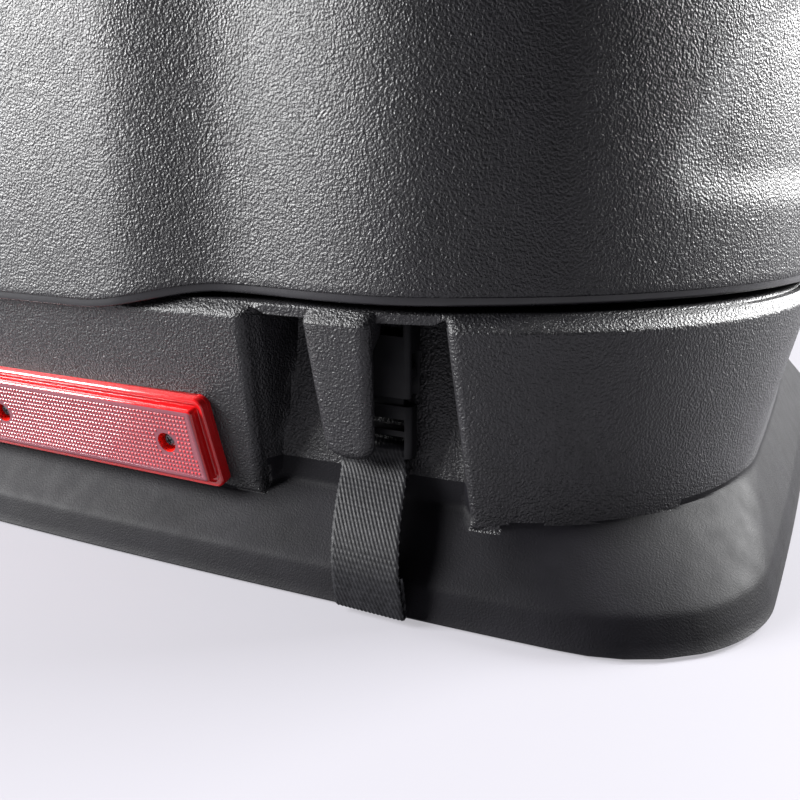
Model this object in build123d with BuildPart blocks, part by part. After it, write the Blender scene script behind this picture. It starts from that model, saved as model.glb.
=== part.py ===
from build123d import *
from math import atan, tan
import os

# Hinged top case for a rear rack. Millimetres, +Z up, rear of the case towards -Y.
# The origin is the centre of the footprint on the bottom face.

os.makedirs("parts", exist_ok=True)

# Overall size and moulded wall
case_width = 588
case_depth = 430
case_height = 320
bow_radius = 3400
wall = 4

# Tub: heights of its lines, and how far each line lies inside the rim outline
ledge_z = 11.5
pad_bottom_z = 26.5
belt_top_z = 31.5
pad_top_z = 94.5
shoulder_z = 98
flange_z = 95
flange_thickness = 4
rim_top_z = 114
base_inset = 0
ledge_inset = 4
pad_bottom_inset = 19
pad_top_inset = 4.5
shoulder_inset = 8
belt_top_inset = 16
neck_inset = 21.5
flange_inset = 9
rear_step = 9.5
corner_at_base = 60
corner_at_ledge = 67
corner_at_belt = 97
corner_at_pad_top = 137
corner_at_flange = 137
corner_at_neck = 135

# Strap channels in the rear face: inner and outer edge at the pad tops
channel_inner_x = 124
channel_outer_x = 191
channel_spread = 6
channel_draft = 10
channel_x = (channel_inner_x + channel_outer_x) / 2

# Lug that guards each buckle
lug_top_width = 25
lug_tip_width = 18
lug_tip_z = 47
lug_lean = 9
lug_top_thickness = 8
lug_tip_thickness = 4.5
lug_root_inset = 17.5
lug_root_z = 90

# Buckle and webbing
strap_width = 25
strap_thickness = 1.4
buckle_x = 161
buckle_inset = 23.5
buckle_width = 31
female_thickness = 9
female_bottom_z = 69
female_top_z = 96
cavity_width = 25
cavity_thickness = 6
male_thickness = 6
male_offset = 0.5
male_bottom_z = 48
male_top_z = 66
blade_width = 6
root_width = 24
root_z = 72
arm_x = 9.5
arm_radius = 2
arm_thickness = 3.2
arm_play = 0.05
bar_radius = 1.5
bar_z = 49.6
edge_fillet = 2
cavity_depth = 20
window_height = 15
blade_length = 14
ladder_bar = 4
ladder_slot = 4
finger_pad_low = 4
finger_pad_high = 7
finger_pad_end = 12
finger_pad_play = 0.3
loop_opening = 6.5
ladder_opening = 7.5
slot_clearance = 2
slot_inset = 23.8
slot_depth = 11.6
anchor_z = 43
tail_end_z = 3
tail_inset = -1.8
hem_length = 14
hem_gap = 0.6
anchor_rivet_radius = 2

# Lid
lip_z = 104
rib_z = 120
rib_thickness = 3
rib_reach = 32
lip_dip = 8
dip_half_width = 63
dip_run = 43
flute_x = 100
flute_radius = 40
flute_depth = 10
scallop_low_z = 130
scallop_high_z = 205
scallop_low_length = 300
scallop_high_length = 190
scallop_corner = 22
scallop_depth = 2
lid_seat_depth = 10
seal_skirt = 8
seal_wall = 1.5
seal_gap = 0.3
loop_inset = 21.5
loop_width = 10
loop_rivet_pitch = 12
loop_slack = 0.1

# Reflector
reflector_long = 210
reflector_short = 205
reflector_height = 36
reflector_z = 46
reflector_sink = 2
reflector_screw_pitch = 85
reflector_screw_radius = 1.5
reflector_pocket_depth = 8
backing_thickness = 2
lens_flange_top = 4.5
lens_top = 8
lens_step = 4
screw_well_radius = 4.6
screw_head_radius = 2.8

# Hinges
hinge_x = 85
hinge_width = 60
hinge_axis_y = 219.2
hinge_axis_z = 101
hinge_seat_y = 215.2
leaf_thickness = 2
leaf_length = 34
knuckle_radius = 4
pin_radius = 2.5
pin_play = 0.05
knuckle_gap = 0.4
hinge_seat_depth = 15
hinge_seat_bottom_z = 59
hinge_seat_margin = 8
lid_seat_gap = 1.5
lid_leaf_gap = 2.5
tub_rivet_z = 78
lid_rivet_z = 131
rivet_spacing = 20
rivet_radius = 2
rivet_head_radius = 4
rivet_head_height = 1.5

# Rack mounting
mount_pitch_x = 300
mount_pitch_y = 180
mount_hole = 8.5
plate_length = 230
plate_width = 40
plate_thickness = 2
plate_rivet_pitch = 60
mat_thickness = 3
drain_pitch_x = 440
drain_radius = 4


def rear_y(inset, x=0):
    """Rear face line at one inset, allowing for the bow of the wall."""
    return -(case_depth / 2 - inset) + x * x / (2 * bow_radius)


def outline(height, inset, corner, step=0):
    """Plan outline at one height: four bowed sides, with the rear one a step further in."""
    half_width = case_width / 2 - inset
    front = case_depth / 2 - inset
    rear = -front + step
    middle = (front + rear) / 2
    end_bow = half_width**2 / (2 * bow_radius)
    side_bow = front**2 / (2 * bow_radius)
    corner_x = half_width - side_bow
    with BuildSketch(Plane.XY.offset(height)) as plan:
        with BuildLine():
            ThreePointArc((-corner_x, rear + end_bow), (0, rear), (corner_x, rear + end_bow))
            ThreePointArc((corner_x, rear + end_bow), (half_width, middle), (corner_x, front - end_bow))
            ThreePointArc((corner_x, front - end_bow), (0, front), (-corner_x, front - end_bow))
            ThreePointArc((-corner_x, front - end_bow), (-half_width, middle), (-corner_x, rear + end_bow))
        make_face()
        fillet(plan.vertices(), corner)
    return plan.sketch


def tub_volume(shrink):
    """Space bounded by the tub's outside or, shrunk by one wall, by its inside."""
    with BuildPart() as volume:
        pad_sections = [
            outline(pad_bottom_z + shrink, pad_bottom_inset + shrink, corner_at_belt),
            outline(pad_top_z - shrink, pad_top_inset + shrink, corner_at_pad_top),
            outline(shoulder_z - shrink, shoulder_inset + shrink, corner_at_pad_top),
        ]
        loft(sections=pad_sections, ruled=True)
        for side in (-1, 1):
            mouth = channel_profile(-rear_y(-10), side, shrink)
            back = channel_profile(-rear_y(rear_step + neck_inset + 10), side, shrink - channel_draft)
            loft(sections=[mouth, back], mode=Mode.SUBTRACT)
        core_sections = [
            outline(shrink, base_inset + shrink, corner_at_base),
            outline(ledge_z, ledge_inset + shrink, corner_at_ledge),
            outline(belt_top_z, belt_top_inset + shrink, corner_at_belt, rear_step),
            outline(shoulder_z, neck_inset + shrink, corner_at_neck, rear_step),
            outline(rim_top_z + shrink, neck_inset + shrink, corner_at_neck, rear_step),
        ]
        loft(sections=core_sections, ruled=True)
    return volume.part


def channel_profile(distance, side, grow):
    """Four-sided section of a strap channel at one distance to the rear, wider at its foot."""
    inner = channel_inner_x - grow
    outer = channel_outer_x + grow
    with BuildSketch(Plane.XZ.offset(distance)) as profile:
        with BuildLine():
            Polyline(
                (side * (inner - channel_spread), pad_bottom_z - 2),
                (side * (outer + channel_spread), pad_bottom_z - 2),
                (side * outer, shoulder_z + 2),
                (side * inner, shoulder_z + 2),
                close=True,
            )
        make_face()
    return profile.sketch


# Reflector plane: it leans with the pad, top edge outward
pad_lean = atan((pad_bottom_inset - pad_top_inset) / (pad_top_z - pad_bottom_z))
reflector_inset = pad_top_inset + (pad_top_z - reflector_z) * tan(pad_lean)
reflector_plane = Plane(
    origin=(0, rear_y(reflector_inset), reflector_z),
    x_dir=(1, 0, 0),
    z_dir=(0, -1, -tan(pad_lean)),
).offset(-reflector_sink)


def reflector_outline(inset):
    """Reflector seen square on: the lower edge is the longer one."""
    with BuildSketch() as face:
        with BuildLine():
            Polyline(
                (-reflector_long / 2 + inset, -reflector_height / 2 + inset),
                (reflector_long / 2 - inset, -reflector_height / 2 + inset),
                (reflector_short / 2 - inset, reflector_height / 2 - inset),
                (-reflector_short / 2 + inset, reflector_height / 2 - inset),
                close=True,
            )
        make_face()
        fillet(face.vertices(), 4)
    return face.sketch


# ---- lug: a leaning tongue, rounded at its tip, that hangs from the flange over each channel
with BuildPart() as lug:
    with BuildSketch(Plane.YZ):
        with BuildLine():
            Polyline(
                (rear_y(pad_top_inset, channel_x), pad_top_z),
                (rear_y(shoulder_inset, channel_x), shoulder_z),
                (rear_y(lug_root_inset, channel_x), shoulder_z),
                (rear_y(lug_root_inset, channel_x), lug_root_z),
                (rear_y(pad_top_inset + lug_top_thickness, channel_x), lug_root_z - 4),
                (rear_y(pad_top_inset + lug_lean + lug_tip_thickness, channel_x), lug_tip_z),
                (rear_y(pad_top_inset + lug_lean, channel_x), lug_tip_z),
                close=True,
            )
        make_face()
    extrude(amount=lug_top_width / 2, both=True)
    with BuildSketch(Plane.XZ) as lug_front:
        with BuildLine():
            Polyline(
                (-lug_top_width / 2, shoulder_z),
                (-lug_tip_width / 2, lug_tip_z),
                (lug_tip_width / 2, lug_tip_z),
                (lug_top_width / 2, shoulder_z),
                close=True,
            )
        make_face()
        fillet(lug_front.vertices().group_by(Axis.Y)[0], 5)
    extrude(amount=case_depth / 2, mode=Mode.INTERSECT)

# ---- tub: base, sloped belt, pads, channels, flange and rim in one moulding
with BuildPart() as tub_shell:
    add(tub_volume(0))
    add(outline(flange_z, flange_inset, corner_at_flange))
    extrude(amount=flange_thickness)
    add(tub_volume(wall), mode=Mode.SUBTRACT)
    with BuildSketch(reflector_plane.offset(-wall)):
        add(reflector_outline(-6))
    extrude(amount=wall)
    with BuildSketch(reflector_plane):
        add(reflector_outline(-0.5))
    extrude(amount=reflector_pocket_depth, mode=Mode.SUBTRACT)
    with BuildSketch(reflector_plane):
        with GridLocations(reflector_screw_pitch, 1, 3, 1):
            Circle(reflector_screw_radius)
    extrude(amount=-2 * wall, mode=Mode.SUBTRACT)
    for side in (-1, 1):
        # slot in the flange that lets the buckle's upper half pass
        with BuildSketch(Plane.XY.offset(flange_z - 1)):
            with Locations((side * buckle_x, rear_y(slot_inset, channel_x))):
                Rectangle(buckle_width + 2 * slot_clearance, slot_depth)
        extrude(amount=flange_thickness + 2, mode=Mode.SUBTRACT)
        add(lug.part.moved(Location((side * channel_x, 0, 0))))
        # upright seat for the hinge on the front face
        with BuildSketch(Plane.XY.offset(hinge_seat_bottom_z)):
            with Locations((side * hinge_x, hinge_seat_y - hinge_seat_depth / 2)):
                Rectangle(hinge_width + hinge_seat_margin, hinge_seat_depth)
        extrude(amount=flange_z - hinge_seat_bottom_z)
        with BuildSketch(Plane.XZ.offset(-hinge_seat_y)):
            with Locations((side * hinge_x, tub_rivet_z)):
                with GridLocations(rivet_spacing, 1, 3, 1):
                    Circle(rivet_radius)
        extrude(amount=hinge_seat_depth, mode=Mode.SUBTRACT)
        # rivet hole for the lower webbing
        with BuildSketch(Plane.XZ.offset(-rear_y(belt_top_inset, channel_x))):
            with Locations((side * buckle_x, anchor_z)):
                Circle(anchor_rivet_radius)
        extrude(amount=-4 * wall, mode=Mode.SUBTRACT)
    with BuildSketch():
        with GridLocations(mount_pitch_x, mount_pitch_y, 2, 2):
            Circle(mount_hole / 2)
        with GridLocations(mount_pitch_x, plate_rivet_pitch, 2, 2):
            Circle(rivet_radius)
        with GridLocations(drain_pitch_x, 1, 2, 1):
            Circle(drain_radius)
    extrude(amount=wall, mode=Mode.SUBTRACT)


# ---- lid: a bowed dome with two upright flutes in its rear face and a shallow scallop in each side
lid_profile = (
    (lip_z, 0, 174),
    (215, 5, 167),
    (262, 13, 160),
    (290, 28, 142),
    (308, 56, 112),
    (317, 95, 78),
    (case_height, 130, 50),
)


def lid_volume(shrink):
    """Space bounded by the lid's outside or, shrunk by one wall, by its inside."""
    with BuildPart() as volume:
        sections = [outline(height - shrink, inset + shrink, corner) for height, inset, corner in lid_profile]
        loft(sections=sections, ruled=True)
    return volume.part


def flutes(radius):
    """The two upright cylinders that hollow the rear face of the lid."""
    with BuildPart() as cutters:
        for side in (-1, 1):
            with BuildSketch(Plane.XY.offset(lip_z - lip_dip - wall)):
                with Locations((side * flute_x, rear_y(flute_depth - flute_radius, flute_x))):
                    Circle(radius)
            extrude(amount=case_height)
    return cutters.part


with BuildPart() as lid_inside:
    add(lid_volume(wall))
    add(flutes(flute_radius + wall), mode=Mode.SUBTRACT)

# The lip hangs a little lower across the middle of the rear face
with BuildPart() as lid_dip:
    add(outline(lip_z - lip_dip, 0, lid_profile[0][2]))
    extrude(amount=lip_dip)
    add(outline(lip_z - lip_dip, wall, lid_profile[0][2]))
    extrude(amount=lip_dip, mode=Mode.SUBTRACT)
    with BuildSketch(Plane.XZ):
        with BuildLine():
            Polyline(
                (-dip_half_width, lip_z - lip_dip),
                (dip_half_width, lip_z - lip_dip),
                (dip_half_width + dip_run, lip_z),
                (-dip_half_width - dip_run, lip_z),
                close=True,
            )
        make_face()
    extrude(amount=case_depth / 2, mode=Mode.INTERSECT)

# Shallow panel sunk into each side and round into the corners
with BuildPart() as side_scallops:
    add(lid_volume(-1))
    add(lid_volume(scallop_depth), mode=Mode.SUBTRACT)
    with BuildSketch(Plane.YZ) as panel:
        with BuildLine():
            Polyline(
                (-scallop_low_length / 2, scallop_low_z),
                (scallop_low_length / 2, scallop_low_z),
                (scallop_high_length / 2, scallop_high_z),
                (-scallop_high_length / 2, scallop_high_z),
                close=True,
            )
        make_face()
        fillet(panel.vertices(), scallop_corner)
    extrude(amount=case_width, both=True, mode=Mode.INTERSECT)

with BuildPart() as lid_shell:
    add(lid_volume(0))
    add(lid_inside.part, mode=Mode.SUBTRACT)
    # rib that presses on the rim seal
    with BuildSketch(Plane.XY.offset(rib_z)):
        add(outline(0, wall / 2, lid_profile[0][2]))
        add(outline(0, rib_reach - rear_step, corner_at_neck, rear_step), mode=Mode.SUBTRACT)
    extrude(amount=rib_thickness)
    add(lid_dip.part)
    add(flutes(flute_radius), mode=Mode.SUBTRACT)
    add(side_scallops.part, mode=Mode.SUBTRACT)
    for side in (-1, 1):
        with BuildSketch(Plane.XY.offset(lip_z + lid_seat_gap)):
            with Locations((side * hinge_x, hinge_seat_y - lid_seat_depth / 2)):
                Rectangle(hinge_width + hinge_seat_margin, lid_seat_depth)
        extrude(amount=leaf_length + hinge_seat_margin / 2)
        with BuildSketch(Plane.XZ.offset(-hinge_seat_y)):
            with Locations((side * hinge_x, lid_rivet_z)):
                with GridLocations(rivet_spacing, 1, 3, 1):
                    Circle(rivet_radius)
        extrude(amount=lid_seat_depth, mode=Mode.SUBTRACT)
        with BuildSketch(Plane.XY.offset(rib_z)):
            with Locations((side * buckle_x, rear_y(loop_inset, channel_x))):
                with GridLocations(loop_rivet_pitch, 1, 2, 1):
                    Circle(anchor_rivet_radius)
        extrude(amount=rib_thickness, mode=Mode.SUBTRACT)

# ---- rim seal: a U section pushed over the tub's rim
with BuildPart() as rim_seal:
    add(outline(rim_top_z - seal_skirt, neck_inset - seal_wall, corner_at_neck, rear_step))
    extrude(amount=rib_z - seal_gap - rim_top_z + seal_skirt)
    add(outline(rim_top_z - seal_skirt, neck_inset + wall + seal_wall, corner_at_neck, rear_step))
    extrude(amount=case_height, mode=Mode.SUBTRACT)
    with BuildSketch(Plane.XY.offset(rim_top_z - seal_skirt)):
        add(outline(0, neck_inset, corner_at_neck, rear_step))
        add(outline(0, neck_inset + wall, corner_at_neck, rear_step), mode=Mode.SUBTRACT)
    extrude(amount=seal_skirt, mode=Mode.SUBTRACT)

# ---- floor: mat, rack plates, their rivets and the drain plugs
with BuildPart() as floor_mat:
    with BuildSketch(Plane.XY.offset(wall)):
        add(outline(0, base_inset + 2 * wall, corner_at_base))
        with GridLocations(mount_pitch_x, 1, 2, 1):
            Rectangle(plate_width + 4, plate_length + 4, mode=Mode.SUBTRACT)
        with GridLocations(drain_pitch_x, 1, 2, 1):
            Circle(2 * drain_radius, mode=Mode.SUBTRACT)
    extrude(amount=mat_thickness)

with BuildPart() as rack_plate:
    with BuildSketch(Plane.XY.offset(wall)) as plate_face:
        Rectangle(plate_width, plate_length)
        fillet(plate_face.vertices(), 5)
        with GridLocations(1, mount_pitch_y, 1, 2):
            Circle(mount_hole / 2, mode=Mode.SUBTRACT)
        with GridLocations(1, plate_rivet_pitch, 1, 2):
            Circle(rivet_radius, mode=Mode.SUBTRACT)
    extrude(amount=plate_thickness)

with BuildPart() as rack_plate_rivets:
    with GridLocations(mount_pitch_x, plate_rivet_pitch, 2, 2):
        with Locations((0, 0, wall + plate_thickness)):
            Cylinder(rivet_head_radius, rivet_head_height, align=(Align.CENTER, Align.CENTER, Align.MIN))
            Cylinder(rivet_radius, wall + plate_thickness - 0.5, align=(Align.CENTER, Align.CENTER, Align.MAX))

with BuildPart() as drain_plugs:
    with GridLocations(drain_pitch_x, 1, 2, 1):
        with Locations((0, 0, wall)):
            Cylinder(drain_radius, wall - 0.5, align=(Align.CENTER, Align.CENTER, Align.MAX))
            Cylinder(1.7 * drain_radius, 2, align=(Align.CENTER, Align.CENTER, Align.MIN))

# ---- reflector: backing, lens with a stepped flange, and three screws in wells
with BuildPart() as reflector_backing:
    with BuildSketch(reflector_plane):
        add(reflector_outline(0))
        with GridLocations(reflector_screw_pitch, 1, 3, 1):
            Circle(reflector_screw_radius, mode=Mode.SUBTRACT)
    extrude(amount=backing_thickness)

with BuildPart() as reflector_lens:
    with BuildSketch(reflector_plane.offset(backing_thickness)):
        add(reflector_outline(0))
    extrude(amount=lens_flange_top - backing_thickness)
    with BuildSketch(reflector_plane.offset(lens_flange_top)):
        add(reflector_outline(lens_step))
    extrude(amount=lens_top - lens_flange_top)
    with BuildSketch(reflector_plane):
        with GridLocations(reflector_screw_pitch, 1, 3, 1):
            Circle(reflector_screw_radius)
    extrude(amount=lens_top, mode=Mode.SUBTRACT)
    with BuildSketch(reflector_plane.offset(lens_flange_top)):
        with GridLocations(reflector_screw_pitch, 1, 3, 1):
            Circle(screw_well_radius)
    extrude(amount=lens_top, mode=Mode.SUBTRACT)

with BuildPart() as reflector_screws:
    with BuildSketch(reflector_plane.offset(lens_flange_top)):
        with GridLocations(reflector_screw_pitch, 1, 3, 1):
            Circle(screw_head_radius)
    extrude(amount=2)
    with BuildSketch(reflector_plane.offset(lens_flange_top)):
        with GridLocations(reflector_screw_pitch, 1, 3, 1):
            Circle(reflector_screw_radius)
    extrude(amount=-lens_flange_top - 2 * wall)


# ---- hinges: two leaves with interleaved knuckles and a pin
def hinge_leaf(low_z, high_z, rivet_z, knuckles, bore):
    """Plate on the hinge seat, with its knuckles reaching round the pin."""
    pitch = hinge_width / 5
    with BuildPart() as leaf:
        with BuildSketch(Plane.XZ.offset(-hinge_seat_y - leaf_thickness)):
            with Locations((0, (low_z + high_z) / 2)):
                Rectangle(hinge_width, high_z - low_z)
            with Locations((0, rivet_z)):
                with GridLocations(rivet_spacing, 1, 3, 1):
                    Circle(rivet_radius, mode=Mode.SUBTRACT)
        extrude(amount=leaf_thickness)
        for index in knuckles:
            middle = (index - 2) * pitch
            tab_end = min(abs(low_z - hinge_axis_z), abs(high_z - hinge_axis_z))
            tab_middle = hinge_axis_z + (tab_end if low_z > hinge_axis_z else -tab_end) / 2
            with Locations((middle, hinge_seat_y + leaf_thickness / 2, tab_middle)):
                Box(pitch - knuckle_gap, leaf_thickness, tab_end)
            with BuildSketch(Plane.YZ.offset(middle - (pitch - knuckle_gap) / 2)):
                with Locations((hinge_axis_y, hinge_axis_z)):
                    Circle(knuckle_radius)
            extrude(amount=pitch - knuckle_gap)
        with BuildSketch(Plane.YZ.offset(-hinge_width)):
            with Locations((hinge_axis_y, hinge_axis_z)):
                Circle(bore)
        extrude(amount=2 * hinge_width, mode=Mode.SUBTRACT)
    return leaf.part


def hinge_rivets(rivet_z, grip):
    """Three rivets through one leaf and the wall behind it."""
    with BuildPart() as rivets:
        outer_face = hinge_seat_y + leaf_thickness
        for plane_y, radius, length in (
            (outer_face + rivet_head_height, rivet_head_radius, rivet_head_height),
            (outer_face, rivet_radius, grip + leaf_thickness),
            (hinge_seat_y - grip, rivet_head_radius, rivet_head_height),
        ):
            with BuildSketch(Plane.XZ.offset(-plane_y)):
                with Locations((0, rivet_z)):
                    with GridLocations(rivet_spacing, 1, 3, 1):
                        Circle(radius)
            extrude(amount=length)
    return rivets.part


hinge_tub_leaf = hinge_leaf(
    flange_z - leaf_length, flange_z, tub_rivet_z, (0, 2, 4), pin_radius
)
hinge_lid_leaf = hinge_leaf(
    lip_z + lid_leaf_gap,
    lip_z + lid_leaf_gap + leaf_length,
    lid_rivet_z,
    (1, 3),
    pin_radius + pin_play,
)
with BuildPart() as hinge_pin:
    with BuildSketch(Plane.YZ.offset(-hinge_width / 2 - 1)):
        with Locations((hinge_axis_y, hinge_axis_z)):
            Circle(pin_radius)
    extrude(amount=hinge_width + 2)

# ---- buckle, built at the middle of the case and moved to each channel afterwards
buckle_y = rear_y(buckle_inset, channel_x)
male_y = buckle_y - male_offset

with BuildPart() as buckle_female:
    with BuildSketch(Plane.XY.offset(female_bottom_z)) as female_face:
        with Locations((0, buckle_y)):
            Rectangle(buckle_width, female_thickness)
        fillet(female_face.vertices(), edge_fillet)
    extrude(amount=female_top_z - female_bottom_z)
    with BuildSketch(Plane.XY.offset(female_bottom_z)):
        with Locations((0, buckle_y)):
            Rectangle(cavity_width, cavity_thickness)
    extrude(amount=cavity_depth, mode=Mode.SUBTRACT)
    with BuildSketch(Plane.XY.offset(female_bottom_z)):
        with Locations((0, buckle_y)):
            Rectangle(2 * buckle_width, cavity_thickness)
    extrude(amount=window_height, mode=Mode.SUBTRACT)
    with BuildSketch(Plane.XZ):
        with Locations((0, female_top_z)):
            Rectangle(strap_width + 1, 2 * loop_opening)
    extrude(amount=case_depth / 2, mode=Mode.SUBTRACT)
    with BuildSketch(Plane.YZ.offset(1 - buckle_width / 2)):
        with Locations((buckle_y, female_top_z - bar_radius)):
            Circle(bar_radius)
    extrude(amount=buckle_width - 2)

with BuildPart() as buckle_male:
    with BuildSketch(Plane.XY.offset(male_bottom_z)) as male_face:
        with Locations((0, male_y)):
            Rectangle(buckle_width, male_thickness)
        fillet(male_face.vertices(), edge_fillet)
    extrude(amount=male_top_z - male_bottom_z)
    with BuildSketch(Plane.XZ):
        with Locations((0, male_bottom_z)):
            Rectangle(strap_width + 1, 2 * ladder_opening)
        with Locations((0, male_bottom_z + ladder_opening + ladder_bar)):
            Rectangle(strap_width + 1, ladder_slot)
    extrude(amount=case_depth / 2, mode=Mode.SUBTRACT)
    with BuildSketch(Plane.YZ.offset(-buckle_width / 2 + 1)):
        with Locations((male_y, bar_z)):
            Circle(bar_radius)
    extrude(amount=buckle_width - 2)
    with BuildSketch(Plane.XY.offset(male_top_z)):
        with Locations((0, male_y)):
            Rectangle(root_width, arm_thickness)
    extrude(amount=root_z - male_top_z)
    with BuildSketch(Plane.XY.offset(root_z)):
        with Locations((0, male_y)):
            Rectangle(blade_width, arm_thickness)
    extrude(amount=blade_length)
    with BuildSketch(Plane.XZ):
        with Locations((-arm_x, root_z), (arm_x, root_z)):
            Circle(arm_radius + arm_play)
    extrude(amount=case_depth / 2, mode=Mode.SUBTRACT)


def buckle_arm(side):
    """Release arm: round root, finger pad on its outer face, slim tip."""
    with BuildPart() as arm:
        with BuildSketch(Plane.XZ.offset(-male_y - arm_thickness / 2)):
            with Locations((side * arm_x, root_z)):
                Circle(arm_radius)
            with BuildLine():
                Polyline(
                    (side * (arm_x - arm_radius + 0.2), root_z),
                    (side * (arm_x + arm_radius - 0.2), root_z),
                    (side * (buckle_width / 2 - finger_pad_play), root_z + finger_pad_low),
                    (side * (buckle_width / 2 - finger_pad_play), root_z + finger_pad_high),
                    (side * (arm_x + arm_radius), root_z + finger_pad_end),
                    (side * (arm_x + arm_radius - 1), root_z + blade_length),
                    (side * arm_x, root_z + blade_length),
                    close=True,
                )
            make_face()
        extrude(amount=arm_thickness)
    return arm.part


# ---- webbing
def loop_outline(grow):
    """Closed loop from the rib down round the buckle's top bar, grown outward by grow."""
    with BuildSketch() as section:
        with Locations((buckle_y, female_top_z - bar_radius)):
            Circle(bar_radius + loop_slack + grow)
        with Locations((rear_y(loop_inset, channel_x), rib_z - strap_thickness - loop_slack)):
            Rectangle(loop_width + 2 * grow, 2 * (loop_slack + grow))
        make_hull()
    return section.sketch


with BuildPart() as lid_strap:
    with BuildSketch(Plane.YZ):
        add(loop_outline(strap_thickness))
        add(loop_outline(0), mode=Mode.SUBTRACT)
    extrude(amount=strap_width / 2, both=True)
    with BuildSketch(Plane.XY.offset(rib_z)):
        with Locations((0, rear_y(loop_inset, channel_x))):
            with GridLocations(loop_rivet_pitch, 1, 2, 1):
                Circle(anchor_rivet_radius)
    extrude(amount=-2 * strap_thickness, mode=Mode.SUBTRACT)

bar_wrap = bar_radius + strap_thickness / 2 + 0.15
anchor_y = rear_y(belt_top_inset + rear_step - strap_thickness / 2 - 0.2, channel_x)
with BuildPart() as tub_strap:
    with BuildSketch(Plane.YZ):
        # up from the wall anchor and over the male half's bar
        with BuildLine():
            Polyline(
                (anchor_y, anchor_z - 4),
                (anchor_y, anchor_z + 4),
                (male_y + bar_wrap, bar_z),
            )
            ThreePointArc(
                (male_y + bar_wrap, bar_z), (male_y, bar_z + bar_wrap), (male_y - bar_wrap, bar_z)
            )
            # the tail drops behind the lug, swings out over the belt and hangs past the ledge
            Spline(
                (male_y - bar_wrap, bar_z),
                (rear_y(12, channel_x), 34),
                (rear_y(tail_inset + 0.8, channel_x), ledge_z + 2),
                (rear_y(tail_inset, channel_x), tail_end_z),
                tangents=((0, -1), (0, -1)),
            )
        trace(line_width=strap_thickness)
        # the end is folded back on itself and sewn
        with Locations((rear_y(tail_inset, channel_x) - strap_thickness, tail_end_z + hem_length / 2)):
            Rectangle(strap_thickness + hem_gap, hem_length)
    extrude(amount=strap_width / 2, both=True)
    with BuildSketch(Plane.XZ.offset(-anchor_y - strap_thickness)):
        with Locations((0, anchor_z)):
            Circle(anchor_rivet_radius)
    extrude(amount=2 * strap_thickness, mode=Mode.SUBTRACT)


def anchor_rivet():
    """Rivet with a broad head that holds the lower webbing to the wall."""
    with BuildPart() as rivet:
        head_y = anchor_y - strap_thickness / 2
        for plane_y, radius, length in (
            (head_y - rivet_head_height, rivet_head_radius, rivet_head_height),
            (head_y, anchor_rivet_radius, strap_thickness + wall + 2),
            (head_y + strap_thickness + wall + 2, rivet_head_radius, rivet_head_height),
        ):
            with BuildSketch(Plane.XZ.offset(-plane_y)):
                with Locations((0, anchor_z)):
                    Circle(radius)
            extrude(amount=-length)
    return rivet.part


with BuildPart() as loop_rivets:
    for plane_z, radius, length in (
        (rib_z + rib_thickness, rivet_head_radius, rivet_head_height),
        (rib_z - strap_thickness, anchor_rivet_radius, rib_thickness + strap_thickness),
        (rib_z - strap_thickness - rivet_head_height, rivet_head_radius - 0.5, rivet_head_height),
    ):
        with BuildSketch(Plane.XY.offset(plane_z)):
            with Locations((0, rear_y(loop_inset, channel_x))):
                with GridLocations(loop_rivet_pitch, 1, 2, 1):
                    Circle(radius)
        extrude(amount=length)


def write(part, name):
    """Label one finished piece and export it."""
    part.label = name
    export_step(part, f"parts/{name}.step")


def shifted(part, x):
    """Copy of a piece moved sideways."""
    return part.moved(Location((x, 0, 0)))


def group(*pieces):
    """Several separate solids kept as one piece."""
    return Compound(children=list(pieces))


write(tub_shell.part, "tub_shell")
write(lid_shell.part, "lid_shell")
write(rim_seal.part, "rim_seal")
write(floor_mat.part, "floor_mat")
write(rack_plate_rivets.part, "rack_plate_rivets")
write(drain_plugs.part, "drain_plugs")
write(reflector_backing.part, "reflector_backing")
write(reflector_lens.part, "reflector_lens")
write(reflector_screws.part, "reflector_screws")

for side, word in ((-1, "left"), (1, "right")):
    write(shifted(rack_plate.part, side * mount_pitch_x / 2), f"rack_plate_{word}")
    write(shifted(hinge_tub_leaf, side * hinge_x), f"hinge_tub_leaf_{word}")
    write(shifted(hinge_lid_leaf, side * hinge_x), f"hinge_lid_leaf_{word}")
    write(shifted(hinge_pin.part, side * hinge_x), f"hinge_pin_{word}")
    write(shifted(buckle_female.part, side * buckle_x), f"buckle_female_{word}")
    write(shifted(buckle_male.part, side * buckle_x), f"buckle_male_{word}")
    write(shifted(buckle_arm(-1), side * buckle_x), f"buckle_arm_{word}_a")
    write(shifted(buckle_arm(1), side * buckle_x), f"buckle_arm_{word}_b")
    write(shifted(lid_strap.part, side * buckle_x), f"lid_strap_{word}")
    write(shifted(tub_strap.part, side * buckle_x), f"tub_strap_{word}")

hinge_rivets_tub = hinge_rivets(tub_rivet_z, hinge_seat_depth)
hinge_rivets_lid = hinge_rivets(lid_rivet_z, lid_seat_depth)
for part, spacing, name in (
    (hinge_rivets_tub, hinge_x, "hinge_tub_rivets"),
    (hinge_rivets_lid, hinge_x, "hinge_lid_rivets"),
    (anchor_rivet(), buckle_x, "tub_strap_rivets"),
    (loop_rivets.part, buckle_x, "lid_strap_rivets"),
):
    write(group(shifted(part, -spacing), shifted(part, spacing)), name)
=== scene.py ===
import math

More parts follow.
